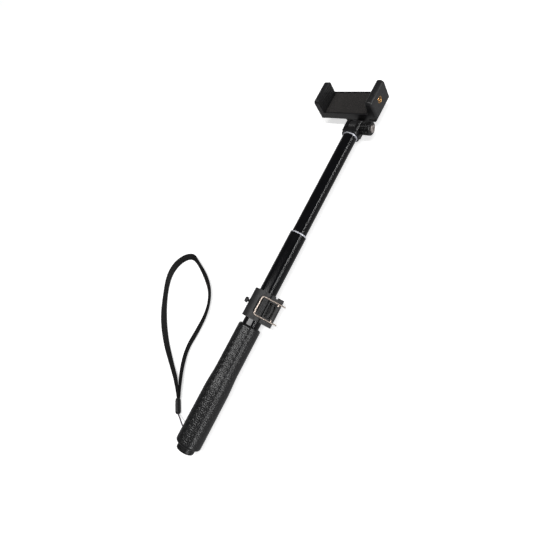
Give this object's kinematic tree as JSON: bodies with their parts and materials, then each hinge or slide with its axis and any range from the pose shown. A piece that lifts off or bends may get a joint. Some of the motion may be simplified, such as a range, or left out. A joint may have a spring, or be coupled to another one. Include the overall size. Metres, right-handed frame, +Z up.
{
  "type": "selfie stick",
  "caption": "Telescopic selfie stick with twist-lock tubes, rubber grip, wrist lanyard, remote clip with wire hoop, and tilting spring phone holder with threaded insert.",
  "frame": {"origin": "centre of the bounding box's base, on the surface the stick lies on, without its lanyard", "axes": "+Y along the pole from grip to phone holder, +X along the holder towards the thumb knob, +Z up out of the phone pad"},
  "size_m": [0.1979, 0.4422, 0.0369],
  "materials": {
    "black_tube": "gloss black anodised tube",
    "grip_rubber": "charcoal moulded rubber with a raised hexagonal lattice and dots",
    "satin_black_plastic": "satin black moulded plastic",
    "bush_plastic": "black nylon",
    "silver_ring": "bright turned aluminium",
    "steel_fastener": "zinc-plated steel",
    "spring_steel": "bright spring steel wire",
    "pad_rubber": "dark speckled foam rubber",
    "black_rubber": "matt black rubber",
    "brass": "machined brass",
    "clip_plastic": "matt dark grey plastic",
    "lanyard_cord": "braided nylon cord",
    "strap_webbing": "black woven polyester webbing"
  },
  "bodies": {
    "handle": {"outer_tube": "black_tube", "grip_sleeve": "grip_rubber", "end_cap": "satin_black_plastic", "lower_guide_bush": "bush_plastic", "lower_trim_ring": "silver_ring", "lanyard_knot": "lanyard_cord", "lanyard_string": "lanyard_cord", "lanyard_sleeve": "black_rubber", "lanyard_strap": "strap_webbing"},
    "lower_lock": {"lower_collet": "bush_plastic"},
    "middle_section": {"middle_tube": "black_tube", "lower_lock_plug": "bush_plastic", "upper_guide_bush": "bush_plastic", "upper_trim_ring": "silver_ring"},
    "upper_lock": {"upper_collet": "bush_plastic"},
    "head": {"top_tube": "black_tube", "upper_lock_plug": "bush_plastic", "fork_head": "satin_black_plastic", "hinge_nut": "steel_fastener"},
    "washer": {"knob_washer": "steel_fastener"},
    "knob": {"thumb_knob": "satin_black_plastic", "hinge_bolt": "steel_fastener"},
    "holder": {"holder_body": "satin_black_plastic", "holder_back_cover": "satin_black_plastic", "holder_pad": "pad_rubber", "fixed_jaw_liner": "black_rubber", "brass_insert": "brass", "cover_screws": "steel_fastener", "spring_anchor_pins": "steel_fastener", "hinge_bush": "bush_plastic", "jaw_spring_front": "spring_steel", "jaw_spring_rear": "spring_steel"},
    "jaw": {"sliding_jaw": "satin_black_plastic", "jaw_liner": "black_rubber"},
    "clip_slider": {"clip_liner": "black_rubber"},
    "remote_clip": {"clip_collar": "clip_plastic", "clip_leaf": "clip_plastic"},
    "set_screw": {"clip_set_screw": "clip_plastic"},
    "hoop": {"wire_hoop": "spring_steel"}
  },
  "joints": [
    {"name": "lower_section_slide", "type": "slide", "parent": "handle", "child": "lower_lock", "axis": [0, 1, 0], "range_m": [-0.1278, 0.067]},
    {"name": "lower_twist_lock", "type": "hinge", "parent": "lower_lock", "child": "middle_section", "pos_m": [0.0164, -0.0499, 0.01365], "axis": [0, 1, 0], "range_deg": [-180, 0]},
    {"name": "upper_section_slide", "type": "slide", "parent": "middle_section", "child": "upper_lock", "axis": [0, 1, 0], "range_m": [0, 0.156]},
    {"name": "upper_twist_lock", "type": "hinge", "parent": "upper_lock", "child": "head", "pos_m": [0.0164, -0.0089, 0.01365], "axis": [0, 1, 0], "range_deg": [-180, 0]},
    {"name": "holder_tilt", "type": "hinge", "parent": "head", "child": "holder", "pos_m": [0.0164, 0.1749, 0.01365], "axis": [1, 0, 0], "range_deg": [-90, 90]},
    {"name": "knob_travel", "type": "slide", "parent": "head", "child": "washer", "axis": [1, 0, 0], "range_m": [0, 0.0016]},
    {"name": "knob_turn", "type": "hinge", "parent": "washer", "child": "knob", "pos_m": [0.0164, 0.1749, 0.01365], "axis": [1, 0, 0], "range_deg": [0, 720]},
    {"name": "jaw_slide", "type": "slide", "parent": "holder", "child": "jaw", "axis": [-1, 0, 0], "range_m": [0, 0.028], "stiffness_N_per_m": 250, "springref_m": -0.016, "deforming": ["jaw_spring_front", "jaw_spring_rear"]},
    {"name": "clip_slide", "type": "slide", "parent": "handle", "child": "clip_slider", "axis": [0, 1, 0], "range_m": [-0.0065, 0.071]},
    {"name": "clip_turn", "type": "hinge", "parent": "clip_slider", "child": "remote_clip", "pos_m": [0.0164, -0.0579, 0.01365], "axis": [0, 1, 0], "continuous": true},
    {"name": "set_screw_turn", "type": "hinge", "parent": "remote_clip", "child": "set_screw", "pos_m": [0.00442, -0.0579, 0.02268], "axis": [0.7986, 0, -0.6018], "range_deg": [0, 720]},
    {"name": "hoop_swing", "type": "hinge", "parent": "remote_clip", "child": "hoop", "pos_m": [0.03719, -0.0579, 0.01432], "axis": [0, 1, 0], "range_deg": [0, 95]}
  ],
  "couplings": [
    {"joint": "knob_turn", "follows": "knob_travel", "rad_per_m": 7853.9}
  ]
}
